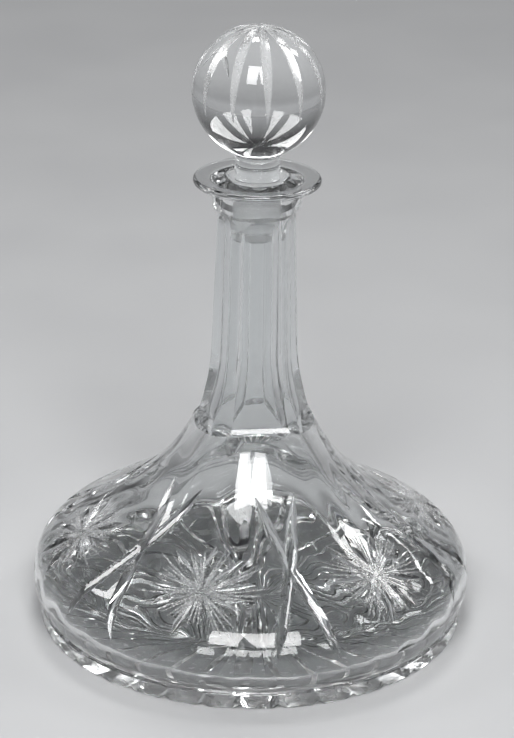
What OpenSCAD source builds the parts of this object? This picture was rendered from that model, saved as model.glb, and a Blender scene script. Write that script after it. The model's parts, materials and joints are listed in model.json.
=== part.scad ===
// Ships decanter in cut lead glass: a wide low vessel with a fluted neck, and a ball stopper.
// Millimetres, +Z up, origin in the middle of the face it stands on.
// A neck panel faces the front, -Y.

/* [Foot] */
// Diameter of the foot disc
foot_d = 194; // [186:1:196]
// Height of the foot disc
foot_h = 7; // [5:0.5:9]
// Bevel on the edges of the foot disc
foot_bevel = 0.8; // [0.4:0.1:1.5]

/* [Body] */
// Widest diameter of the body
body_d = 200; // [198:1:212]
// Height of the widest place above the standing face
body_mid_z = 19.5; // [18:0.5:22]
// Radius of the rounded side of the body
body_round = 22; // [20:0.5:24]
// Thickness of glass under the bowl
base_t = 9; // [7:0.5:11]
// Thickness of glass at the widest place
side_t = 5.5; // [4:0.5:8]

/* [Neck] */
// Height of the mouth above the standing face
mouth_z = 209; // [205:0.5:215]
// Diameter at the foot of the neck, before the flutes are cut
neck_d = 38.6; // [36:0.2:40]
// Height at which the neck begins to spread
flare_z = 129; // [126:1:133]
// Radius of the hollow curve from neck to shoulder
flare_round = 90; // [84:1:94]
// Slope of the neck towards the mouth, in degrees
neck_taper = 2; // [1.4:0.1:2.2]
// Diameter of the bore at the foot of the neck
bore_d = 21.4; // [20.8:0.2:23]

/* [Lip] */
// Diameter of the flat lip
lip_d = 56; // [52:1:62]
// Thickness of the lip
lip_t = 3.2; // [2.6:0.2:4]
// Diameter of the funnel at the mouth
funnel_d = 28.6; // [26:0.2:32]
// Diameter of the collar under the lip
collar_d = 38.8; // [38:0.2:41]
// Height of the collar from its lower edge to the lip
collar_h = 12.4; // [10:0.2:13]

/* [Flutes] */
// Number of flat panels round the neck
flute_count = 6; // [6:1:8]
// Radius in which the panels run out at the collar
flute_top_round = 12; // [10:1:14]
// Radius of the long hollow at the lower end of the panels
flute_low_round = 125; // [120:1:140]
// Radius in which the panels run out on the shoulder
flute_end_round = 8; // [6:1:10]
// Height at which the panels begin to run out on the shoulder
flute_low_z = 100; // [98:1:104]

/* [Crossed blades] */
// Number of crossed pairs round the shoulder
blade_pairs = 6; // [4:1:6]
// Turn of the pairs from the middle of the neck panels, in degrees
blade_turn = 6.5; // [0:0.5:12]
// Slant of a blade to either side, in degrees
blade_slant = 20; // [16:1:22]
// Depth of a blade where the pair crosses
blade_depth = 1.8; // [1.2:0.1:2]
// Angle between the two faces of a blade
blade_angle = 104; // [96:1:110]
// Radius of the wheel that cuts the upper half of a blade
blade_wheel = 74; // [70:1:78]
// Radius of the wheel that cuts the lower half of a blade
blade_low_wheel = 200; // [180:5:220]

/* [Stars] */
// Number of leaves in each star between two crossed pairs
leaf_count = 9; // [6:1:9]
// Distance of the middle of a leaf from the middle of its star
leaf_out = 13.5; // [12:0.5:14.5]
// Length of a leaf where the surface is straight
leaf_len = 19.4; // [16:0.2:20]
// Depth of a leaf at its middle
leaf_depth = 1.05; // [0.8:0.05:1.2]
// Angle between the two faces of a leaf
leaf_angle = 112; // [104:1:116]
// Space between the lowest leaf and the rounded side of the body
leaf_gap = 0.5; // [0.4:0.1:3]

/* [Base star] */
// Number of rays cut under the base
ray_count = 36; // [24:4:40]
// Depth of a ray at the edge of the foot
ray_depth = 1.6; // [1:0.1:2]
// Diameter of the plain middle of the star
star_hub_d = 14; // [12:1:24]
// Angle between the two faces of a ray
ray_angle = 124; // [110:1:130]

/* [Stopper] */
// Diameter of the ball
ball_d = 57.6; // [50:0.2:62]
// Space between the lip and the underside of the ball
ball_lift = 9.5; // [7:0.5:12]
// Diameter of the stem under the ball
stem_d = 19.8; // [18:0.2:20.4]
// Radius between stem and ball
stem_fillet = 3; // [2:0.5:4]
// Diameter of the ground plug at its top
plug_d = 22; // [21.4:0.2:23]
// Length of the ground plug
plug_len = 23; // [20:1:26]
// Loss of diameter along the plug, one part in this many
plug_taper = 12; // [11:1:16]
// Depth of the plug's top below the mouth
plug_sink = 4.5; // [3.5:0.5:6]
// Bevel at the lower end of the plug
plug_bevel = 1.2; // [0.6:0.2:2]
// Space between the ground plug and its seat
seat_clearance = 0.15; // [0.1:0.05:0.3]

/* [Ball grooves] */
// Number of grooves down the ball
groove_count = 12; // [8:2:14]
// Greatest depth of a groove
groove_depth = 1.9; // [1.2:0.1:2.2]
// Angle between the two faces of a groove
groove_angle = 93; // [80:1:100]
// Where a groove begins, in degrees down from the top of the ball
groove_start = 5; // [4:0.5:10]
// Where a groove ends, in degrees down from the top of the ball
groove_end = 104; // [96:1:112]

/* [Hidden] */
$fn = 96;
glass = [0.88, 0.92, 0.93, 0.5];

// A circle this fine follows the long curves of the profile closely
fine = 360;
// Overshoot of a cutting shape past the surface it cuts, and past the ends of a groove in degrees
past = 0.4;
past_angle = 3;

function unit(angle) = [cos(angle), sin(angle)];

// Direction, seen from p, in which a straight line touches a circle round p and, from the
// other side, a circle round q; sum is the two radii together
function touch_angle(p, q, sum) =
    let (d = q - p)
    atan2(d[1], d[0]) - acos(sum / norm(d));

// Centres of the arcs, in the plane of radius and height
neck_low = [neck_d / 2, flare_z];
flare = neck_low + flare_round * unit(neck_taper);
belly = [body_d / 2 - body_round, body_mid_z];

// Outside of the neck up to the collar
collar_z = mouth_z - lip_t - collar_h;
function neck_r(z) = neck_d / 2 - (z - flare_z) * tan(neck_taper);

// Hollow inside: its corner arc touches the floor and the side wall
bowl_round = body_mid_z - base_t;
bowl_corner = [body_d / 2 - side_t - bowl_round, body_mid_z];
neck_wall = (neck_d - bore_d) / 2;
bore_low = [bore_d / 2, flare_z];

// Ground seat and plug
plug_top_z = mouth_z - plug_sink;
plug_low_z = plug_top_z - plug_len;
plug_low_d = plug_d - plug_len / plug_taper;
seat_top_r = plug_d / 2 + seat_clearance;
seat_low_r = plug_low_d / 2 + seat_clearance;

// Ball
ball_r = ball_d / 2;
ball_z = mouth_z + ball_lift + ball_r;

// Panels: half the angle between two ridges, and how far inside the ridge a panel lies
half_panel = 180 / flute_count;
ridge_cut = 0.15;
flute_top_angle = 30;
flute_top_z = collar_z - flute_top_round * sin(flute_top_angle);
panel_top = [neck_r(flute_top_z) * cos(half_panel) - ridge_cut, flute_top_z];
panel_low = [neck_r(flare_z) * cos(half_panel) - ridge_cut, flare_z];
panel_slope = atan((panel_low[0] - panel_top[0]) / (flute_top_z - flare_z));
flute_arc = panel_low + flute_low_round * unit(panel_slope);
flute_end_angle = asin((flute_arc[1] - flute_low_z) / flute_low_round);
flute_end = flute_arc - (flute_low_round - flute_end_round) * unit(flute_end_angle);
// Reach of the cutting shape away from the axis, and its width across the panel
flute_reach = 34;
flute_width = 44;

// Straight shoulder: the direction of its outward normal, and its two ends
shoulder_lean = touch_angle(belly, flare, body_round + flare_round);
shoulder_top = flare - flare_round * unit(shoulder_lean);
shoulder_low = belly + body_round * unit(shoulder_lean);
shoulder_len = norm(shoulder_low - shoulder_top);

// Turn in degrees that an arc of this length makes
function arc_turn(length, radius) = length / radius * 180 / PI;

// Place on the outside, measured down the slope from the upper end of the straight shoulder:
// radius, height and the direction of the outward normal
function slope_place(way) =
    let (
        lean = way < 0 ? shoulder_lean + arc_turn(way, flare_round)
            : shoulder_lean - arc_turn(max(0, way - shoulder_len), body_round),
        spot = way < 0 ? flare - flare_round * unit(lean)
            : way < shoulder_len ? shoulder_top + way * unit(shoulder_lean - 90)
            : belly + body_round * unit(lean)
    )
    [spot[0], spot[1], lean];

// Way down the slope to the middle of a star
star_way = shoulder_len - leaf_gap - leaf_out - leaf_len / 2;
// Radius of the wheel that cuts a leaf, and the turn in which it has left the glass
leaf_wheel = (pow(leaf_len / 2, 2) + pow(leaf_depth, 2)) / (2 * leaf_depth);
leaf_sweep = acos(1 - (leaf_depth + past) / leaf_wheel);

// Distance below the crossing at which the two wheels meet
blade_shift = 5;
// Turn in which each wheel has left the glass
blade_sweep = 30;
blade_low_sweep = 12;

// Outline between the axis and a surface that has a rounded side, a straight shoulder,
// a hollow curve and a neck that ends in the points of top
module bottle_outline(side, side_r, curve, curve_r, low, neck, top) {
    lean = touch_angle(side, curve, side_r + curve_r);
    shoulder = [side + side_r * unit(lean), curve - curve_r * unit(lean)];
    intersection() {
        translate(side) circle(r = side_r, $fn = fine);
        translate([0, low]) square([body_d, body_d]);
    }
    difference() {
        polygon(concat([[0, low], [side[0], low], side], shoulder, [neck], top));
        translate(curve) circle(r = curve_r, $fn = fine);
    }
}

module foot_outline() {
    polygon([
        [0, 0],
        [foot_d / 2 - foot_bevel, 0],
        [foot_d / 2, foot_bevel],
        [foot_d / 2, foot_h - foot_bevel],
        [foot_d / 2 - foot_bevel, foot_h],
        [0, foot_h]
    ]);
}

module lip_outline() {
    edge = lip_t / 2;
    cove = lip_t / 2;
    collar_r = collar_d / 2;
    collar_bevel = collar_r - neck_r(collar_z);
    polygon([
        [0, collar_z],
        [neck_r(collar_z), collar_z],
        [collar_r, collar_z + collar_bevel],
        [collar_r, mouth_z - lip_t - cove],
        [collar_r + 2 * cove, mouth_z - lip_t],
        [0, mouth_z - lip_t]
    ]);
    translate([0, mouth_z - lip_t]) square([lip_d / 2 - edge, lip_t]);
    translate([lip_d / 2 - edge, mouth_z - edge]) circle(r = edge);
}

module outside() {
    neck_top = [neck_r(collar_z), collar_z];
    bottle_outline(belly, body_round, flare, flare_round, foot_h, neck_low, [neck_top, [0, collar_z]]);
    foot_outline();
    lip_outline();
}

module inside() {
    top = [
        [seat_low_r, plug_low_z],
        [seat_top_r, plug_top_z],
        [funnel_d / 2, mouth_z],
        [funnel_d / 2, mouth_z + past],
        [0, mouth_z + past]
    ];
    bottle_outline(bowl_corner, bowl_round, flare, flare_round + neck_wall, base_t, bore_low, top);
}

// Shape that cuts one flat panel, standing on the +X side
module flute_cut() {
    rotate([90, 0, 0])
        linear_extrude(height = flute_width, center = true) {
            translate([panel_top[0] + flute_top_round, flute_top_z])
                circle(r = flute_top_round);
            polygon([
                panel_top,
                panel_low,
                [flute_reach, flare_z],
                [flute_reach, flute_top_z]
            ]);
            intersection() {
                translate(flute_arc) circle(r = flute_low_round, $fn = fine);
                translate([0, flute_low_z]) square([flute_reach, flare_z - flute_low_z]);
            }
            translate(flute_end) circle(r = flute_end_round);
        }
}

// Part of a wheel with a sharp rim, standing on the origin and sunk by its depth
module wheel_cut(radius, depth, rim_angle, start, sweep) {
    deep = depth + past;
    half_width = deep * tan(rim_angle / 2);
    translate([0, 0, radius - depth])
        rotate([90, 90, 0])
            rotate_extrude(angle = sweep, start = start, $fn = fine / 2)
                polygon([[radius, 0], [radius - deep, half_width], [radius - deep, -half_width]]);
}

// One blade on the +X side: a small wheel runs up the hollow curve, a large one down the shoulder
module blade_cut(slant) {
    translate([shoulder_top[0], 0, shoulder_top[1]])
        rotate([0, 90 - shoulder_lean, 0])
            rotate(slant)
                translate([blade_shift, 0, 0]) {
                    wheel_cut(blade_wheel, blade_depth, blade_angle, -blade_sweep, blade_sweep);
                    wheel_cut(blade_low_wheel, blade_depth, blade_angle, 0, blade_low_sweep);
                }
}

// One leaf of a star on the +X side, at an angle from the way straight down the slope
module leaf_cut(angle) {
    spot = slope_place(star_way + leaf_out * cos(angle));
    aside = leaf_out * sin(angle);
    // The slope straight down turns with the place, so the leaf stands at a changed angle to it
    turned = atan2(sin(angle) - aside / spot[0] * sin(spot[2]) * cos(angle), cos(angle));
    rotate(arc_turn(aside, spot[0]))
        translate([spot[0], 0, spot[1]])
            rotate([0, 90 - spot[2], 0])
                rotate(turned)
                    wheel_cut(leaf_wheel, leaf_depth, leaf_angle, -leaf_sweep, 2 * leaf_sweep);
}

// Ray under the base along +X: it rises from the hub to its full depth at the edge
module ray_cut() {
    hub_r = star_hub_d / 2;
    rise = atan(ray_depth / (foot_d / 2 - hub_r));
    drop = 2 * ray_depth;
    half_width = drop * tan(ray_angle / 2);
    translate([hub_r, 0, 0])
        rotate([0, -rise, 0])
            rotate([90, 0, 90])
                linear_extrude(height = foot_d / 2)
                    polygon([[0, 0], [-half_width, -drop], [half_width, -drop]]);
}

// Groove down the ball on the +X side: part of a ring with a sharp inner edge, set off the
// centre of the ball so that the edge dips into the glass between the groove's two ends
module groove_cut() {
    middle = (groove_start + groove_end) / 2;
    half_span = (groove_end - groove_start) / 2;
    offset_r = groove_depth / (1 - cos(half_span));
    edge_r = ball_r + offset_r * cos(half_span);
    half_sweep = asin(ball_r * sin(half_span) / edge_r) + past_angle;
    deep = groove_depth + past;
    half_width = deep * tan(groove_angle / 2);
    translate([-offset_r * sin(middle), 0, ball_z - offset_r * cos(middle)])
        rotate([90, middle - 90, 0])
            rotate_extrude(angle = 2 * half_sweep, start = -half_sweep, $fn = fine / 2)
                polygon([[edge_r, 0], [edge_r + deep, half_width], [edge_r + deep, -half_width]]);
}

module stopper_outline() {
    stem_r = stem_d / 2;
    fillet_r = stem_r + stem_fillet;
    fillet_z = ball_z - sqrt(pow(ball_r + stem_fillet, 2) - pow(fillet_r, 2));
    touch = [fillet_r, fillet_z] + stem_fillet * unit(atan2(ball_z - fillet_z, -fillet_r));
    intersection() {
        translate([0, ball_z]) circle(r = ball_r, $fn = fine);
        translate([0, ball_z - ball_r]) square([ball_r, ball_d]);
    }
    difference() {
        polygon([[0, plug_top_z], [stem_r, plug_top_z], [stem_r, fillet_z], touch, [0, ball_z]]);
        translate([fillet_r, fillet_z]) circle(r = stem_fillet);
    }
    polygon([
        [0, plug_low_z],
        [plug_low_d / 2 - plug_bevel, plug_low_z],
        [plug_low_d / 2 + plug_bevel / plug_taper / 2, plug_low_z + plug_bevel],
        [plug_d / 2, plug_top_z],
        [0, plug_top_z]
    ]);
}

// Plain body with this many of its blades, cut one after another
module bladed_body(blades) {
    pair = ceil(blades / 2);
    slant = blades % 2 == 0 ? blade_slant : -blade_slant;
    if (blades == 0)
        rotate_extrude($fn = fine / 2)
            difference() {
                outside();
                inside();
            }
    else
        difference() {
            bladed_body(blades - 1);
            rotate(pair * 360 / blade_pairs + blade_turn - 90) blade_cut(slant);
        }
}

module vessel() {
    color(glass)
        difference() {
            bladed_body(2 * blade_pairs);
            for (star = [1 : blade_pairs], leaf = [1 : leaf_count])
                rotate((star - 0.5) * 360 / blade_pairs + blade_turn - 90)
                    leaf_cut(leaf * 360 / leaf_count);
            for (k = [0 : flute_count - 1])
                rotate(k * 2 * half_panel - 90) flute_cut();
            for (k = [0 : ray_count - 1])
                rotate(k * 360 / ray_count - 90) ray_cut();
        }
}

// Stopper with this many of its grooves, cut one after another
module cut_stopper(grooves) {
    if (grooves == 0)
        rotate(180 / groove_count) rotate_extrude($fn = fine / 2) stopper_outline();
    else
        difference() {
            cut_stopper(grooves - 1);
            rotate(grooves * 360 / groove_count - 90) groove_cut();
        }
}

module stopper() {
    color(glass) cut_stopper(groove_count);
}

vessel();
stopper();
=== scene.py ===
import json
import math

import bpy
import numpy as np
from mathutils import Matrix, Vector

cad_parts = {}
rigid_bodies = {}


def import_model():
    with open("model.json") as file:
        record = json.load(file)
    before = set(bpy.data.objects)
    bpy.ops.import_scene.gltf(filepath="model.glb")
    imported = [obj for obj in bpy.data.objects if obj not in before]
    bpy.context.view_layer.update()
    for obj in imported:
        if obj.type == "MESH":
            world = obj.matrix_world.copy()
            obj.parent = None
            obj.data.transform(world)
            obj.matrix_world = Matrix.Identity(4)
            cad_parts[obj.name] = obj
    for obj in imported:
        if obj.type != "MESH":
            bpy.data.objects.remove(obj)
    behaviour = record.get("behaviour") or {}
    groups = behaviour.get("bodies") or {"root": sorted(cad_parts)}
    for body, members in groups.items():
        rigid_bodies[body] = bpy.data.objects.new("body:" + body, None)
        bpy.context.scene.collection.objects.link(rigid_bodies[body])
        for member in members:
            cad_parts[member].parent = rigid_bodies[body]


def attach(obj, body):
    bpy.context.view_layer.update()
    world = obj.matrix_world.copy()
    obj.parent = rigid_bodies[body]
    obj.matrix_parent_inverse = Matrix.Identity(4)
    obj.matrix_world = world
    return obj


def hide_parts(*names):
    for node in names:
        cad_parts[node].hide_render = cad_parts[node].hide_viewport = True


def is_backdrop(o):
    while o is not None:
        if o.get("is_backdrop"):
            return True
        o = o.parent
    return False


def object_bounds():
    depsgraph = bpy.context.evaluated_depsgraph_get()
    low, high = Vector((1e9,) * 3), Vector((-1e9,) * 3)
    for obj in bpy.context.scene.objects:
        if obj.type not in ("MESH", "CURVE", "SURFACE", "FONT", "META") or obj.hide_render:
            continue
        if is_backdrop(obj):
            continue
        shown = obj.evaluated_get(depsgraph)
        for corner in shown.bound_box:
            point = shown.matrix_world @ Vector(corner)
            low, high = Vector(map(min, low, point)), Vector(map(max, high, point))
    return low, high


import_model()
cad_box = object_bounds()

# Ships decanter in cut lead glass: the vessel and its ball stopper.
# Sizes are in millimetres until a mesh is made; the stage is in metres; angles are in degrees.
# An azimuth is measured from the front, -Y, towards +X.
MM = 0.001

# Foot and body
FOOT_R = 97
FOOT_H = 7
FOOT_EDGE = 0.8
NOTCH_DEPTH = 1.4
NOTCH_H = 1.2
BODY_R = 99.9
BODY_Z = 19.5
BODY_ROUND = 22
BASE_T = 9
SIDE_T = 5.5

# Neck and lip
MOUTH_Z = 209
NECK_R = 19.3
FLARE_Z = 129
FLARE_ROUND = 90
NECK_TAPER = 2
BORE_R = 10.7
LIP_R = 28
LIP_T = 3.2
FUNNEL_R = 14.3
COLLAR_R = 19.4
COLLAR_H = 12.4
EDGE_ROUND = 0.5

# Flat panels round the neck: their ends, the size of the cutter, and the ridges left between them
FLUTES = 6
FLUTE_TOP_ROUND = 12
FLUTE_TOP_ANGLE = 30
FLUTE_TOP_END = 105
FLUTE_LOW_ROUND = 125
FLUTE_LOW_Z = 100
FLUTE_END_ROUND = 8
FLUTE_LOW_END = 300
FLUTE_REACH = 40
FLUTE_HALF_WIDTH = 22
RIDGE_LEFT = 0.3
RIDGE_MARGIN = 1.1

# Crossed blades on the shoulder: each runs from its upper to its lower radius and leans to one side
PAIRS = 6
PAIR_TURN = 6.5
BLADE_TOP_R = 40
BLADE_LOW_R = 99.7
BLADE_TOP_OUT = 9
BLADE_LOW_OUT = 15
BLADE_BEND = 1.5
BLADE_DEPTH = 2.2
BLADE_FULLNESS = 4.0
BLADE_ANGLE = 108
BLADE_ROWS = 40

# Stars between the pairs: leaves with fine rays between them
STAR_R = 78.5
STAR_ROWS = 14
LEAVES = 9
LEAF_FROM = 5.5
LEAF_TO = 24
LEAF_DEPTH = 1.25
LEAF_ANGLE = 120
FINE_RAYS = 5
FINE_FROM = 0.8
FINE_TO = 23
FINE_SPREAD = 0.35
FINE_DEPTH = 0.36
FINE_ANGLE = 100

# A hand cutter's small differences in the stars: how far an angle strays, and shares of the full reach
HAND_SEED = 7
LEAF_STRAY = 4
LEAF_SHARES = (0.88, 1.05)
FINE_STRAY = 2
FINE_SHARES = (0.7, 1.05)

# Star under the base
BASE_RAYS = 36
BASE_RAY_FROM = 4
BASE_RAY_PAST = 2
BASE_RAY_DEPTH = 2.1
BASE_RAY_SWELL = 0.6
BASE_RAY_ANGLE = 118
BASE_RAY_ROWS = 12

# Waves inside the bowl: their height, the radius where they begin, and the way over which they grow
RIPPLE_HEIGHT = 0.11
RIPPLE_FROM = 14
RIPPLE_GROWTH = 20

# Each wave: its direction, the sense of its bend, millimetres to the radian, and its start in radians
RIPPLES = (
    ((1.0, 0.0), 1, 2.7, 0.0),
    ((0.5, 0.87), -1, 2.3, 1.3),
    ((0.64, -0.77), 1, 3.1, 0.0),
)

# Bend of the waves: its size, then along X and Y the millimetres to the radian and the start in radians
RIPPLE_BEND = 4
RIPPLE_BENDS = ((13, 1), (17, 2))

# Stopper
BALL_R = 28.8
BALL_LIFT = 9.5
STEM_R = 9.9
STEM_FILLET = 3
PLUG_R = 11
PLUG_LEN = 23
PLUG_TAPER = 12
PLUG_SINK = 4.5
PLUG_BEVEL = 1.2
SEAT_CLEARANCE = 0.15
GROOVES = 12
GROOVE_DEPTH = 1.9
GROOVE_ANGLE = 100
GROOVE_START = -12
GROOVE_END = 104
GROOVE_TOP = -3
GROOVE_ROWS = 40

# Fineness of the turned meshes, and how far a cutter stands above the surface it cuts
SEGMENTS = 240
STEP = 4
OVER = 0.5

# Hollow sides of a cut: how much they curve, the steps across one side, and the least depth at the ends
HOLLOW = 0.5
HOLLOW_STEPS = 4
LEAST_DEPTH = 0.02

# Shading: the angle from which an edge is sharp, and the least radius that a direction is taken at
SHARP_ANGLE = 25
LEAST_R = 1e-6

# Slots of a glass piece, and those that the cuts bring
POLISHED, BODY, FINE, BLADE, LEAF, PANEL, GROOVE, SEAT, PLUG, WORN = range(10)
CUT_SLOTS = (FINE, BLADE, LEAF, PANEL, GROOVE)

# Glass: its refraction, and the tints of its finishes; the panels' darker grey is painted shade
LEAD_GLASS_IOR = 1.545
CLEAR_TINT = (0.955, 0.965, 0.967)
FINE_TINT = (0.97, 0.975, 0.98)
CUT_TINT = (0.95, 0.96, 0.965)
# Painted shade: the neck's panels get a darker grey than the rest of the same clear glass
PANEL_PAINTED_SHADE = (0.8, 0.82, 0.828)
PLUG_TINT = (0.98, 0.985, 0.985)
FOOT_TINT = (0.95, 0.96, 0.96)

# Noise in the finishes: the part of it that is spread over a range, and how it is stretched
NOISE_LOW = 0.35
NOISE_HIGH = 0.65
EVEN = (1, 1, 1)
UPRIGHT = (1, 1, 0.25)

# Floor, with its glow between two distances from the decanter
FLOOR_HALF = 14.0
FLOOR_Z = -0.0003
FLOOR_LOW = (0.46, 0.465, 0.475, 1)
FLOOR_HIGH = (0.50, 0.505, 0.51, 1)
GLOW_COLOUR = (0.95, 0.96, 0.98, 1)
GLOW_STRENGTH = 0.36
GLOW_FROM = 0.3
GLOW_TO = 2.4

# Studio dome: its colours at the horizon and overhead, and where the second is reached
DOME_LOW = (0.3, 0.305, 0.312, 1)
DOME_HIGH = (0.03, 0.03, 0.032, 1)
DOME_HIGH_AT = 0.35

# Lamps: the place they are aimed at, and the angle that their light keeps within
AIM = Vector((0, 0, 0.09))
LAMP_SPREAD = 85


def unit(angle):
    """Direction in the plane of radius and height."""
    turn = math.radians(angle)
    return np.array([math.cos(turn), math.sin(turn)])


def touch_angle(p, q, radii):
    """Direction from p to where a line touches its circle; the line touches q's circle from the other side.

    The radii of both circles are given as their sum.
    """
    d = q - p
    return math.degrees(math.atan2(d[1], d[0]) - math.acos(radii / np.hypot(*d)))


class Line:
    """Straight piece of an outline; the outside is on its right."""

    def __init__(self, start, end, slot=POLISHED, step=STEP, ripple=False, ridged=False):
        self.start = np.array(start, float)
        self.end = np.array(end, float)
        self.slot = slot
        self.step = step
        self.ripple = ripple
        self.ridged = ridged

    def points(self):
        length = np.hypot(*(self.end - self.start))
        share = np.linspace(0, 1, math.ceil(length / self.step) + 1)
        return self.start + share[:, None] * (self.end - self.start)

    def distance(self, p):
        along = self.end - self.start
        share = np.clip((p - self.start) @ along / (along @ along), 0, 1)
        return np.linalg.norm(p - self.start - share[:, None] * along, axis=1)

    def normals(self, p):
        along = (self.end - self.start) / np.hypot(*(self.end - self.start))
        return np.tile([along[1], -along[0]], (len(p), 1))


class Arc:
    """Round piece of an outline; the outside is on its right."""

    ridged = False

    def __init__(self, centre, radius, start, end, slot=POLISHED, step=3, ripple=False):
        self.centre = np.array(centre, float)
        self.radius = radius
        self.start = start
        self.end = end
        self.slot = slot
        self.step = step
        self.ripple = ripple

    def points(self):
        count = math.ceil(abs(self.end - self.start) / self.step) + 1
        angles = np.linspace(self.start, self.end, count)
        return np.array([self.centre + self.radius * unit(angle) for angle in angles])

    def distance(self, p):
        away = p - self.centre
        angles = np.degrees(np.arctan2(away[:, 1], away[:, 0]))
        middle = (self.start + self.end) / 2
        angles = middle + (angles - middle + 180) % 360 - 180
        angles = np.radians(np.clip(angles, min(self.start, self.end), max(self.start, self.end)))
        nearest = self.radius * np.column_stack([np.cos(angles), np.sin(angles)])
        return np.linalg.norm(away - nearest, axis=1)

    def normals(self, p):
        away = p - self.centre
        side = 1 if self.end > self.start else -1
        return side * away / np.linalg.norm(away, axis=1)[:, None]


# Arcs of the vessel, the places where the straight shoulder touches them, and the collar's lower edge
belly = np.array([BODY_R - BODY_ROUND, BODY_Z])
flare = np.array([NECK_R, FLARE_Z]) + FLARE_ROUND * unit(NECK_TAPER)
shoulder = touch_angle(belly, flare, BODY_ROUND + FLARE_ROUND)
belly_low = math.degrees(math.asin((FOOT_H + NOTCH_H - BODY_Z) / BODY_ROUND))
bowl_round = BODY_Z - BASE_T
bowl = np.array([BODY_R - SIDE_T - bowl_round, BODY_Z])
inner_flare = FLARE_ROUND + NECK_R - BORE_R
inner_shoulder = touch_angle(bowl, flare, bowl_round + inner_flare)
collar_z = MOUTH_Z - LIP_T - COLLAR_H

# Ground plug and the ball above it
plug_top = MOUTH_Z - PLUG_SINK
plug_low = plug_top - PLUG_LEN
plug_low_r = PLUG_R - PLUG_LEN / PLUG_TAPER / 2
ball_z = MOUTH_Z + BALL_LIFT + BALL_R


def neck_radius(z):
    """Outside of the neck at a height."""
    return NECK_R - (z - FLARE_Z) * math.tan(math.radians(NECK_TAPER))


def shoulder_pieces():
    """Outside of the body, from the notch above the foot up to the neck."""
    return [
        Arc(belly, BODY_ROUND, belly_low, shoulder, slot=BODY, step=2),
        Line(belly + BODY_ROUND * unit(shoulder), flare - FLARE_ROUND * unit(shoulder), slot=BODY, step=3),
        Arc(flare, FLARE_ROUND, 180 + shoulder, 180 + NECK_TAPER, slot=BODY, step=1.5),
    ]


def vessel_outline():
    """From the middle of the underside up the outside, over the lip and down the inside."""
    foot_in = FOOT_R - FOOT_EDGE
    edge = LIP_T / 2
    collar_bevel = COLLAR_R - neck_radius(collar_z)
    outside = shoulder_pieces()
    notch = (foot_in - NOTCH_DEPTH, FOOT_H + NOTCH_H / 2)
    neck_low = outside[-1].points()[-1]
    seat_low = (plug_low_r + SEAT_CLEARANCE, plug_low)
    seat_top = (PLUG_R + SEAT_CLEARANCE, plug_top)
    bore = Arc(flare, inner_flare, 180 + NECK_TAPER, 180 + inner_shoulder, step=1.5, ripple=True)
    corner = Arc(bowl, bowl_round, inner_shoulder, -90, step=4, ripple=True)
    slope = Line(bore.points()[-1], corner.points()[0], step=3, ripple=True)
    mouth_edge = MOUTH_Z - EDGE_ROUND
    mouth_r = FUNNEL_R + EDGE_ROUND
    return [
        Line((0, 0), (foot_in, 0), slot=WORN, step=12),
        Arc((foot_in, FOOT_EDGE), FOOT_EDGE, -90, 0, step=30),
        Line((FOOT_R, FOOT_EDGE), (FOOT_R, FOOT_H - FOOT_EDGE), step=2),
        Arc((foot_in, FOOT_H - FOOT_EDGE), FOOT_EDGE, 0, 90, step=30),
        Line((foot_in, FOOT_H), notch),
        Line(notch, outside[0].points()[0]),
        *outside,
        Line(neck_low, (neck_radius(collar_z), collar_z), step=8, ridged=True),
        Line((neck_radius(collar_z), collar_z), (COLLAR_R, collar_z + collar_bevel), step=1),
        Line((COLLAR_R, collar_z + collar_bevel), (COLLAR_R, MOUTH_Z - LIP_T - edge), step=2),
        Arc((COLLAR_R + edge, MOUTH_Z - LIP_T - edge), edge, 180, 90, step=18),
        Line((COLLAR_R + edge, MOUTH_Z - LIP_T), (LIP_R - edge, MOUTH_Z - LIP_T), step=3),
        Arc((LIP_R - edge, MOUTH_Z - edge), edge, -90, 90, step=15),
        Line((LIP_R - edge, MOUTH_Z), (mouth_r, MOUTH_Z), step=4),
        Arc((mouth_r, mouth_edge), EDGE_ROUND, 90, 180, step=30),
        Line((FUNNEL_R, mouth_edge), seat_top, step=2),
        Line(seat_top, seat_low, slot=SEAT, step=4),
        Line(seat_low, bore.points()[0], step=6),
        bore,
        slope,
        corner,
        Line(corner.points()[-1], (0, BASE_T), step=4, ripple=True),
    ]


def stopper_outline():
    """From the middle of the plug's lower end up to the top of the ball."""
    fillet_r = STEM_R + STEM_FILLET
    fillet_z = ball_z - math.sqrt((BALL_R + STEM_FILLET) ** 2 - fillet_r ** 2)
    touch = math.degrees(math.atan2(ball_z - fillet_z, -fillet_r))
    bevel_r = plug_low_r + PLUG_BEVEL / PLUG_TAPER / 2
    top_edge = EDGE_ROUND / 2
    return [
        Line((0, plug_low), (plug_low_r - PLUG_BEVEL, plug_low), slot=PLUG, step=3),
        Line((plug_low_r - PLUG_BEVEL, plug_low), (bevel_r, plug_low + PLUG_BEVEL)),
        Line((bevel_r, plug_low + PLUG_BEVEL), (PLUG_R, plug_top - top_edge), slot=PLUG),
        Arc((PLUG_R - top_edge, plug_top - top_edge), top_edge, 0, 90, step=45),
        Line((PLUG_R - top_edge, plug_top), (STEM_R, plug_top), step=1),
        Line((STEM_R, plug_top), (STEM_R, fillet_z), step=3),
        Arc((fillet_r, fillet_z), STEM_FILLET, 180, touch, step=8),
        Arc((0, ball_z), BALL_R, touch - 180, 90, step=2),
    ]


def ripple_height(radius, turn):
    """Gentle waves that blowing leaves on the inside of the bowl."""
    x = radius * math.cos(turn)
    y = radius * math.sin(turn)
    bend = 0.0
    for way, (length, start) in zip((x, y), RIPPLE_BENDS):
        bend += RIPPLE_BEND * math.sin(way / length + start)
    waves = 0.0
    for (along_x, along_y), sense, length, start in RIPPLES:
        waves += math.sin((along_x * x + along_y * y + sense * bend) / length + start)
    fade = min(1, max(0, (radius - RIPPLE_FROM) / RIPPLE_GROWTH))
    return RIPPLE_HEIGHT * fade * waves


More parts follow.
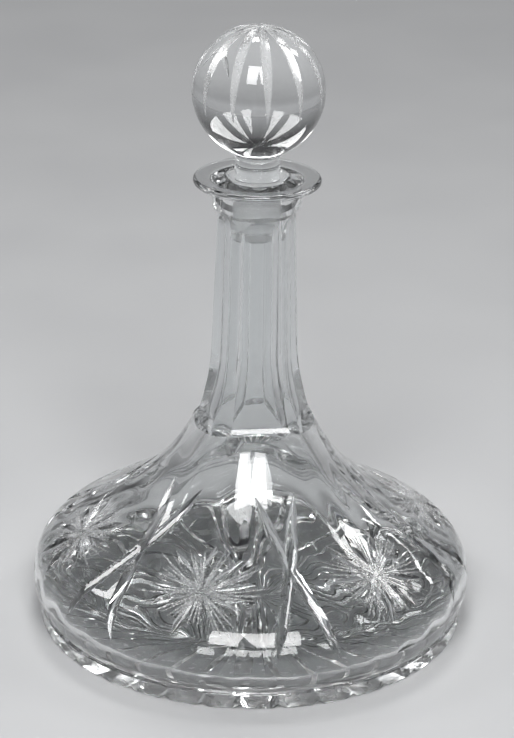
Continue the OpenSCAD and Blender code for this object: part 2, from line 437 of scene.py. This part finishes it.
def solid_mesh(name, verts, faces, slots):
    """Mesh of a closed shape, with the slot of each face."""
    mesh = bpy.data.meshes.new(name)
    mesh.from_pydata([tuple(v) for v in verts * MM], [], faces)
    for material in finishes:
        mesh.materials.append(material)
    mesh.polygons.foreach_set("material_index", slots)
    return mesh


def turned_mesh(name, outline):
    """Mesh of the outline turned round the axis; it begins and ends on the axis."""
    rows = [(outline[0].points()[0], outline[0])]
    for piece in outline:
        rows += [(p, piece) for p in piece.points()[1:]]
    turns = [2 * math.pi * k / SEGMENTS for k in range(SEGMENTS)]
    verts = [(0, 0, rows[0][0][1])]
    for p, piece in rows[1:-1]:
        normal = piece.normals(p[None])[0]
        for turn in turns:
            r, z = p + normal * (ripple_height(p[0], turn) if piece.ripple else 0)
            verts.append((r * math.cos(turn), r * math.sin(turn), z))
    verts.append((0, 0, rows[-1][0][1]))
    faces = []
    slots = []
    last = len(rows) - 2
    for row in range(len(rows) - 1):
        first = 1 + (row - 1) * SEGMENTS
        for k in range(SEGMENTS):
            low = first + k
            low_after = first + (k + 1) % SEGMENTS
            high = low + SEGMENTS
            high_after = low_after + SEGMENTS
            if row == 0:
                faces.append((0, high_after, high))
            elif row == last:
                faces.append((low, low_after, len(verts) - 1))
            else:
                faces.append((low, low_after, high_after, high))
            slots.append(rows[row + 1][1].slot)
    return solid_mesh(name, np.array(verts), faces, slots)


def groove(points, normals, depths, angle, slot, hollow=False):
    """Cutter with a sharp lower edge that follows points on a surface at the given depths.

    A hollow one leaves sides that curve a little, as a wheel with a rounded face does.
    """
    along = np.gradient(points, axis=0)
    side = np.cross(along, normals)
    side /= np.linalg.norm(side, axis=1)[:, None]
    depths = np.maximum(depths, LEAST_DEPTH if hollow else 0)[:, None]
    slope = math.tan(math.radians(angle / 2))
    shares = np.linspace(0, 1, HOLLOW_STEPS + 1)[1:] if hollow else []
    profile = [(share, HOLLOW * share ** 2 + (1 - HOLLOW) * share) for share in shares]
    offsets = [(depths * share * slope, depths * (rise - 1)) for share, rise in profile]
    offsets.append(((depths + OVER) * slope, OVER))
    right = [points + up * normals + aside * side for aside, up in offsets]
    left = [points + up * normals - aside * side for aside, up in reversed(offsets)]
    ring = [points - depths * normals, *right, *left]
    size = len(ring)
    verts = np.stack(ring, axis=1).reshape(-1, 3)
    end = size * (len(points) - 1)
    faces = [tuple(range(size)), tuple(range(end, end + size))[::-1]]
    for a in range(0, end, size):
        for i in range(size):
            j = (i + 1) % size
            faces.append((a + size + i, a + size + j, a + j, a + i))
    return solid_mesh("groove", verts, faces, [slot] * len(faces))


def at(azimuth, radius, z):
    """Points in space from azimuths in radians, radii and heights."""
    return np.column_stack([radius * np.sin(azimuth), -radius * np.cos(azimuth), z])


class Shoulder:
    """Outside of the body as a strip: the way down it, and the point and normal at each place."""

    def __init__(self):
        points = []
        normals = []
        for piece in reversed(shoulder_pieces()):
            p = piece.points()[::-1]
            points.append(p)
            normals.append(piece.normals(p))
        self.p = np.concatenate(points)
        self.n = np.concatenate(normals)
        steps = np.linalg.norm(np.diff(self.p, axis=0), axis=1)
        self.way = np.concatenate([[0], np.cumsum(steps)])

    def way_at(self, radius):
        """Way down to a radius above the widest place."""
        widest = int(np.argmax(self.p[:, 0]))
        return float(np.interp(radius, self.p[:widest, 0], self.way[:widest]))

    def place(self, azimuth, aside, way):
        """Points and normals that lie aside, in millimetres, of an azimuth at these ways down."""
        r = np.interp(way, self.way, self.p[:, 0])
        z = np.interp(way, self.way, self.p[:, 1])
        nr = np.interp(way, self.way, self.n[:, 0])
        nz = np.interp(way, self.way, self.n[:, 1])
        turn = math.radians(azimuth) + aside / r
        return at(turn, r, z), at(turn, nr, nz)


def lens(count, fullness=2.0):
    """Depth along a cut that runs out to a point at both ends."""
    share = np.linspace(-1, 1, count)
    return 1.0 - np.abs(share) ** fullness


def blade_cutters(strip):
    """Blades in pairs that cross, each with a slight bend."""
    way = np.linspace(strip.way_at(BLADE_TOP_R), strip.way_at(BLADE_LOW_R), BLADE_ROWS)
    share = np.linspace(0, 1, BLADE_ROWS)
    bend = BLADE_BEND * np.sin(math.pi * share)
    out = -BLADE_TOP_OUT + (BLADE_TOP_OUT + BLADE_LOW_OUT) * share - bend
    depths = BLADE_DEPTH * lens(BLADE_ROWS, BLADE_FULLNESS)
    for k in range(PAIRS):
        azimuth = PAIR_TURN + k * 360 / PAIRS
        for lean in (-1, 1):
            points, normals = strip.place(azimuth, lean * out, way)
            yield groove(points, normals, depths, BLADE_ANGLE, BLADE, hollow=True)


def star_cut(strip, azimuth, centre, angle, reach, depth, opening, slot):
    """One cut of a star, at an angle round its centre and between two distances from it."""
    out = np.linspace(*reach, STAR_ROWS)
    turn = math.radians(angle)
    points, normals = strip.place(azimuth, out * math.cos(turn), centre + out * math.sin(turn))
    return groove(points, normals, depth * lens(STAR_ROWS), opening, slot, hollow=slot == LEAF)


def star_cutters(strip):
    """Leaves and fine rays; a hand cutter's small differences come from a fixed seed."""
    hand = np.random.default_rng(HAND_SEED)
    between = 360 / LEAVES
    centre = strip.way_at(STAR_R)
    for k in range(PAIRS):
        azimuth = PAIR_TURN + (k - 0.5) * 360 / PAIRS
        for leaf in range(LEAVES):
            angle = leaf * between - 90 + hand.uniform(-LEAF_STRAY, LEAF_STRAY)
            reach = (LEAF_FROM, LEAF_TO * hand.uniform(*LEAF_SHARES))
            yield star_cut(strip, azimuth, centre, angle, reach, LEAF_DEPTH, LEAF_ANGLE, LEAF)
            for ray in range(FINE_RAYS):
                fine = angle + between * (ray + 1) / (FINE_RAYS + 1) + hand.uniform(-FINE_STRAY, FINE_STRAY)
                aside = 1 + FINE_SPREAD * math.cos(math.radians(fine)) ** 2
                reach = (FINE_FROM, FINE_TO * aside * hand.uniform(*FINE_SHARES))
                yield star_cut(strip, azimuth, centre, fine, reach, FINE_DEPTH, FINE_ANGLE, FINE)


def base_ray_cutters():
    """Rays under the base: shallow near the middle, deepest where they notch the foot's edge."""
    radius = np.linspace(BASE_RAY_FROM, FOOT_R + BASE_RAY_PAST, BASE_RAY_ROWS)
    share = (radius - BASE_RAY_FROM) / (FOOT_R - BASE_RAY_FROM)
    depths = BASE_RAY_DEPTH * share ** BASE_RAY_SWELL
    down = np.tile([0.0, 0.0, -1.0], (BASE_RAY_ROWS, 1))
    for k in range(BASE_RAYS):
        azimuth = np.full(BASE_RAY_ROWS, 2 * math.pi * k / BASE_RAYS)
        points = at(azimuth, radius, np.zeros(BASE_RAY_ROWS))
        yield groove(points, down, depths, BASE_RAY_ANGLE, LEAF)


def flute_section():
    """Outline of the cutter of one panel, from its upper to its lower run-out."""
    half_panel = math.radians(180 / FLUTES)
    top_z = collar_z - FLUTE_TOP_ROUND * math.sin(math.radians(FLUTE_TOP_ANGLE))
    top = np.array([neck_radius(top_z) * math.cos(half_panel) + RIDGE_LEFT, top_z])
    low = np.array([NECK_R * math.cos(half_panel) + RIDGE_LEFT, FLARE_Z])
    slope = math.degrees(math.atan((low[0] - top[0]) / (top_z - FLARE_Z)))
    hollow = low + FLUTE_LOW_ROUND * unit(slope)
    end_angle = math.degrees(math.asin((hollow[1] - FLUTE_LOW_Z) / FLUTE_LOW_ROUND))
    end = hollow - (FLUTE_LOW_ROUND - FLUTE_END_ROUND) * unit(end_angle)
    upper = Arc(top + (FLUTE_TOP_ROUND, 0), FLUTE_TOP_ROUND, FLUTE_TOP_END, 180, step=5).points()
    lower = Arc(hollow, FLUTE_LOW_ROUND, 180 + slope, 180 + end_angle, step=1).points()
    run_out = Arc(end, FLUTE_END_ROUND, 180 + end_angle, FLUTE_LOW_END, step=6).points()
    outer = [(FLUTE_REACH, run_out[-1][1]), (FLUTE_REACH, upper[0][1])]
    return np.concatenate([upper, lower, run_out[1:], outer])


def flute_cutters():
    """Straight bars with the section of a panel, one on each side of the neck."""
    section = flute_section()
    count = len(section)
    for k in range(FLUTES):
        turn = math.radians(k * 360 / FLUTES)
        out = np.array([math.sin(turn), -math.cos(turn), 0])
        across = np.array([math.cos(turn), math.sin(turn), 0]) * FLUTE_HALF_WIDTH
        middle = section[:, :1] * out + section[:, 1:] * np.array([0, 0, 1])
        verts = np.concatenate([middle - across, middle + across])
        faces = [tuple(range(count)), tuple(range(2 * count - 1, count - 1, -1))]
        for i in range(count):
            j = (i + 1) % count
            faces.append((j, i, count + i, count + j))
        yield solid_mesh("panel", verts, faces, [PANEL] * len(faces))


def groove_cutters():
    """Grooves down the ball, each sunk most half way between its ends."""
    angles = np.radians(np.linspace(GROOVE_TOP, GROOVE_END, GROOVE_ROWS))
    middle = math.radians(GROOVE_START + GROOVE_END) / 2
    half_span = math.radians(GROOVE_END - GROOVE_START) / 2
    depths = GROOVE_DEPTH * (np.cos(angles - middle) - math.cos(half_span)) / (1 - math.cos(half_span))
    for k in range(GROOVES):
        azimuth = np.full(GROOVE_ROWS, 2 * math.pi * k / GROOVES)
        normals = at(azimuth, np.sin(angles), np.cos(angles))
        points = BALL_R * normals + (0, 0, ball_z)
        yield groove(points, normals, depths, GROOVE_ANGLE, GROOVE)


def cut_mesh(name, mesh, cutters):
    """The mesh with all cutters taken away from it."""
    scene = bpy.context.scene
    group = bpy.data.collections.new(name + "_cutters")
    scene.collection.children.link(group)
    for k, cutter in enumerate(cutters):
        group.objects.link(bpy.data.objects.new(f"{name}_cutter_{k}", cutter))
    blank = bpy.data.objects.new(name + "_blank", mesh)
    scene.collection.objects.link(blank)
    cut = blank.modifiers.new("cut", "BOOLEAN")
    cut.operation = "DIFFERENCE"
    cut.operand_type = "COLLECTION"
    cut.collection = group
    cut.solver = "MANIFOLD"
    cut.material_mode = "TRANSFER"
    depsgraph = bpy.context.evaluated_depsgraph_get()
    result = bpy.data.meshes.new_from_object(blank.evaluated_get(depsgraph))
    for helper in [*group.objects, blank]:
        data = helper.data
        bpy.data.objects.remove(helper)
        bpy.data.meshes.remove(data)
    bpy.data.collections.remove(group)
    result.name = name
    return result


def shade(mesh, outline):
    """Smooth faces: turned surfaces take the normals of their outline, cuts keep their edges."""
    mesh.polygons.foreach_set("use_smooth", [True] * len(mesh.polygons))
    mesh.set_sharp_from_angle(angle=math.radians(SHARP_ANGLE))
    verts = np.empty(3 * len(mesh.vertices))
    mesh.vertices.foreach_get("co", verts)
    verts = verts.reshape(-1, 3) / MM
    radius = np.hypot(verts[:, 0], verts[:, 1])
    flat = np.column_stack([radius, verts[:, 2]])
    corner = np.empty(len(mesh.loops), int)
    mesh.loops.foreach_get("vertex_index", corner)
    sizes = np.empty(len(mesh.polygons), int)
    mesh.polygons.foreach_get("loop_total", sizes)
    slots = np.empty(len(mesh.polygons), int)
    mesh.polygons.foreach_get("material_index", slots)
    owner = np.repeat(np.arange(len(sizes)), sizes)
    middle = np.empty((len(sizes), 2))
    for axis in (0, 1):
        middle[:, axis] = np.bincount(owner, flat[corner, axis]) / sizes
    nearest = np.argmin([piece.distance(middle) for piece in outline], axis=0)
    normals = np.zeros((len(corner), 3))
    turned = ~np.isin(slots, CUT_SLOTS)
    for k, piece in enumerate(outline):
        if piece.ripple:
            continue
        here = (turned & (nearest == k))[owner]
        at_corner = corner[here]
        n = piece.normals(flat[at_corner])
        direction = verts[at_corner, :2] / np.maximum(radius[at_corner], LEAST_R)[:, None]
        spread = np.column_stack([n[:, :1] * direction, n[:, 1]])
        if piece.ridged:
            round_ridges(verts[at_corner], spread)
        normals[here] = spread
    mesh.normals_split_custom_set(normals.tolist())


def round_ridges(verts, normals):
    """Turn the normals on the narrow strips between two panels, so that the ridges look rounded."""
    half_panel = 180 / FLUTES
    radius = neck_radius(verts[:, 2])
    panel = radius * math.cos(math.radians(half_panel)) + RIDGE_LEFT
    half_strip = half_panel - np.degrees(np.arccos(panel / radius))
    azimuth = np.degrees(np.arctan2(verts[:, 0], -verts[:, 1]))
    aside = azimuth % (2 * half_panel) - half_panel
    on_neck = (verts[:, 2] > FLARE_Z) & (verts[:, 2] < collar_z)
    on_strip = (np.abs(aside) < RIDGE_MARGIN * half_strip) & on_neck
    turn = np.radians(np.clip(aside / half_strip, -1, 1) * half_panel - aside) * on_strip
    x, y = normals[:, 0].copy(), normals[:, 1].copy()
    normals[:, 0] = x * np.cos(turn) - y * np.sin(turn)
    normals[:, 1] = x * np.sin(turn) + y * np.cos(turn)


def glass_piece(node, mesh):
    """Piece that takes the place of a CAD node and moves with its body."""
    piece = bpy.data.objects.new(node + "_glass", mesh)
    bpy.context.scene.collection.objects.link(piece)
    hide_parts(node)
    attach(piece, node)


# Materials

def add(tree, kind, **inputs):
    """New node with these input values."""
    made = tree.nodes.new("ShaderNode" + kind)
    for name, value in inputs.items():
        made.inputs[name.replace("_", " ")].default_value = value
    return made


def varied(tree, scale, low, high, stretch=EVEN, detail=3.0):
    """Noise over the piece, spread between two values and plain; the scale is in features per metre."""
    place = add(tree, "TexCoord")
    turn = add(tree, "Mapping", Scale=stretch)
    noise = add(tree, "TexNoise", Scale=scale, Detail=detail)
    spread = add(tree, "MapRange", From_Min=NOISE_LOW, From_Max=NOISE_HIGH, To_Min=low, To_Max=high)
    tree.links.new(place.outputs["Object"], turn.inputs["Vector"])
    tree.links.new(turn.outputs["Vector"], noise.inputs["Vector"])
    tree.links.new(noise.outputs["Fac"], spread.inputs["Value"])
    return spread.outputs["Result"], noise.outputs["Fac"]


def glass(name, tint, roughness, scale, bump, depth, stretch=EVEN, clarity=1.0, detail=3.0):
    """Clear lead glass; the surface finish varies by noise, with a bump of the given depth in metres."""
    material = bpy.data.materials.new(name)
    material.use_nodes = True
    tree = material.node_tree
    tree.nodes.clear()
    colour = (*tint, 1)
    shader = add(tree, "BsdfPrincipled", Base_Color=colour, IOR=LEAD_GLASS_IOR, Transmission_Weight=clarity)
    level, noise = varied(tree, scale, *roughness, stretch, detail)
    relief = add(tree, "Bump", Strength=bump, Distance=depth)
    out = add(tree, "OutputMaterial")
    tree.links.new(level, shader.inputs["Roughness"])
    tree.links.new(noise, relief.inputs["Height"])
    tree.links.new(relief.outputs["Normal"], shader.inputs["Normal"])
    tree.links.new(shader.outputs["BSDF"], out.inputs["Surface"])
    return material


def glass_finishes():
    """The finishes of the glass, in the order of the slots."""
    return [
        glass("polished_glass", CLEAR_TINT, (0.0, 0.02), scale=60, bump=0.15, depth=0.0003),
        glass("body_glass", CLEAR_TINT, (0.0, 0.02), scale=30, bump=1.0, depth=0.0016, detail=0.5),
        glass("fine_cut_glass", FINE_TINT, (0.12, 0.32), scale=900, bump=0.05, depth=0.00005, clarity=0.85),
        glass("blade_cut_glass", CUT_TINT, (0.0, 0.03), scale=160, bump=0.2, depth=0.0006),
        glass("leaf_cut_glass", CLEAR_TINT, (0.0, 0.04), scale=200, bump=0.05, depth=0.0001),
        # The panels' darker grey is painted shade
        glass("panel_glass_painted_shade", PANEL_PAINTED_SHADE, (0.0, 0.02), scale=90, bump=0.03, depth=0.0003, stretch=UPRIGHT),
        glass("groove_cut_glass", CUT_TINT, (0.14, 0.3), scale=500, bump=0.05, depth=0.0001, clarity=0.78),
        glass("ground_seat_glass", CLEAR_TINT, (0.02, 0.09), scale=1500, bump=0.05, depth=0.0001),
        glass("ground_plug_glass", PLUG_TINT, (0.12, 0.24), scale=900, bump=0.05, depth=0.0001, clarity=0.8),
        glass("worn_foot_glass", FOOT_TINT, (0.08, 0.3), scale=220, bump=0.2, depth=0.0001),
    ]


def seen_rays(tree):
    """One for rays that are seen, straight or through and off the glass, and zero for the rest."""
    path = add(tree, "LightPath")
    total = path.outputs["Is Camera Ray"]
    for name in ("Is Glossy Ray", "Is Transmission Ray"):
        both = add(tree, "Math")
        both.operation = "MAXIMUM"
        tree.links.new(total, both.inputs[0])
        tree.links.new(path.outputs[name], both.inputs[1])
        total = both.outputs["Value"]
    return total


def far_glow(tree):
    """Glow of the floor away from the decanter, so that its far part looks as pale as the near part."""
    place = add(tree, "TexCoord")
    length = add(tree, "VectorMath")
    length.operation = "LENGTH"
    fade = add(tree, "MapRange", From_Min=GLOW_FROM, From_Max=GLOW_TO, To_Min=0.0, To_Max=GLOW_STRENGTH)
    fade.interpolation_type = "SMOOTHSTEP"
    glow = add(tree, "Math")
    glow.operation = "MULTIPLY"
    tree.links.new(place.outputs["Object"], length.inputs["Vector"])
    tree.links.new(length.outputs["Value"], fade.inputs["Value"])
    tree.links.new(fade.outputs["Result"], glow.inputs[0])
    tree.links.new(seen_rays(tree), glow.inputs[1])
    return glow.outputs["Value"]


def floor_material():
    """Pale floor that varies a little in colour and roughness."""
    material = bpy.data.materials.new("pale_floor")
    material.use_nodes = True
    tree = material.node_tree
    shader = tree.nodes["Principled BSDF"]
    shader.inputs["Emission Color"].default_value = GLOW_COLOUR
    tree.links.new(far_glow(tree), shader.inputs["Emission Strength"])
    level, noise = varied(tree, scale=9, low=0.6, high=0.75)
    blend = add(tree, "ValToRGB")
    blend.color_ramp.elements[0].color = FLOOR_LOW
    blend.color_ramp.elements[1].color = FLOOR_HIGH
    tree.links.new(noise, blend.inputs["Fac"])
    tree.links.new(blend.outputs["Color"], shader.inputs["Base Color"])
    tree.links.new(level, shader.inputs["Roughness"])
    return material


# Stage, light and camera

def make_floor():
    """Floor just below the face that the decanter stands on."""
    mesh = bpy.data.meshes.new("floor")
    corners = [(FLOOR_HALF * x, FLOOR_HALF * y, FLOOR_Z) for x, y in ((-1, -1), (1, -1), (1, 1), (-1, 1))]
    mesh.from_pydata(corners, [], [(0, 1, 2, 3)])
    mesh.materials.append(floor_material())
    floor = bpy.data.objects.new("floor", mesh)
    bpy.context.scene.collection.objects.link(floor)
    floor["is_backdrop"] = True


def make_world():
    """Studio dome: pale near the horizon and dim overhead."""
    world = bpy.data.worlds.new("studio")
    world.use_nodes = True
    tree = world.node_tree
    place = add(tree, "TexCoord")
    split = add(tree, "SeparateXYZ")
    ramp = add(tree, "ValToRGB")
    ramp.color_ramp.elements[0].color = DOME_LOW
    ramp.color_ramp.elements[1].color = DOME_HIGH
    ramp.color_ramp.elements[1].position = DOME_HIGH_AT
    tree.links.new(place.outputs["Generated"], split.inputs["Vector"])
    tree.links.new(split.outputs["Z"], ramp.inputs["Fac"])
    tree.links.new(ramp.outputs["Color"], tree.nodes["Background"].inputs["Color"])
    bpy.context.scene.world = world


def softbox(name, azimuth, height_angle, distance, width, height, radiance):
    """Lamp aimed at the decanter; a grid in front of it keeps its light within the spread."""
    half_spread = math.radians(LAMP_SPREAD / 2)
    narrowing = math.tan(half_spread) / (math.tan(half_spread) - half_spread)
    data = bpy.data.lights.new(name, "AREA")
    data.shape = "RECTANGLE"
    data.size = width
    data.size_y = height
    data.spread = 2 * half_spread
    data.energy = radiance * math.pi * width * height / narrowing
    lamp = bpy.data.objects.new(name, data)
    turn = math.radians(azimuth)
    level = math.radians(height_angle)
    flat = math.cos(level)
    lamp.location = AIM + distance * Vector((flat * math.sin(turn), -flat * math.cos(turn), math.sin(level)))
    lamp.rotation_mode = "QUATERNION"
    lamp.rotation_quaternion = (AIM - lamp.location).to_track_quat("-Z", "Y")
    bpy.context.scene.collection.objects.link(lamp)


def make_lights():
    """A window of two panes above the camera, and three small softboxes behind the decanter."""
    for name, azimuth in (("pane_left", -21.8), ("pane_right", 5.8)):
        softbox(name, azimuth, 45, distance=2.4, width=0.71, height=1.3, radiance=15.0)
    softbox("back", 172, 68, distance=2.0, width=0.6, height=0.4, radiance=20.0)
    softbox("back_left", -118, 42, distance=2.0, width=0.3, height=0.45, radiance=13.0)
    softbox("back_right", 112, 46, distance=2.0, width=0.3, height=0.45, radiance=13.0)


def make_camera():
    """Camera fitted to the photograph, 514 by 738 pixels."""
    image_height = 738
    focal_pixels = 2590
    distance = 1.067
    height = 0.5684
    azimuth = -8
    pitch = 22.88
    yaw = -0.07
    roll = 1.0
    data = bpy.data.cameras.new("camera")
    data.sensor_width = 36
    data.lens = focal_pixels / image_height * data.sensor_width
    camera = bpy.data.objects.new("camera", data)
    turn = math.radians(azimuth)
    camera.location = (distance * math.sin(turn), -distance * math.cos(turn), height)
    aim = Matrix.Rotation(math.radians(azimuth + yaw), 4, "Z")
    tilt = Matrix.Rotation(math.radians(90 - pitch), 4, "X")
    lean = Matrix.Rotation(math.radians(roll), 4, "Z")
    camera.rotation_mode = "QUATERNION"
    camera.rotation_quaternion = (aim @ tilt @ lean).to_quaternion()
    bpy.context.scene.collection.objects.link(camera)
    bpy.context.scene.camera = camera


def set_render():
    """Standard view, and enough bounces to see through the walls of the glass."""
    scene = bpy.context.scene
    scene.view_settings.view_transform = "Standard"
    scene.cycles.max_bounces = 24
    scene.cycles.transmission_bounces = 24
    scene.cycles.glossy_bounces = 12


def write_sizes():
    boxes = {"cad": cad_box, "visual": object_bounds()}
    {name: [list(corner) for corner in box] for name, box in boxes.items()}


finishes = glass_finishes()

strip = Shoulder()
vessel_shape = vessel_outline()
vessel_cutters = [*flute_cutters(), *blade_cutters(strip), *star_cutters(strip), *base_ray_cutters()]
vessel_mesh = cut_mesh("vessel_glass", turned_mesh("vessel_blank", vessel_shape), vessel_cutters)
shade(vessel_mesh, vessel_shape)
glass_piece("vessel", vessel_mesh)

stopper_shape = stopper_outline()
stopper_mesh = cut_mesh("stopper_glass", turned_mesh("stopper_blank", stopper_shape), groove_cutters())
shade(stopper_mesh, stopper_shape)
glass_piece("stopper", stopper_mesh)

make_floor()
make_world()
make_lights()
make_camera()
set_render()
write_sizes()
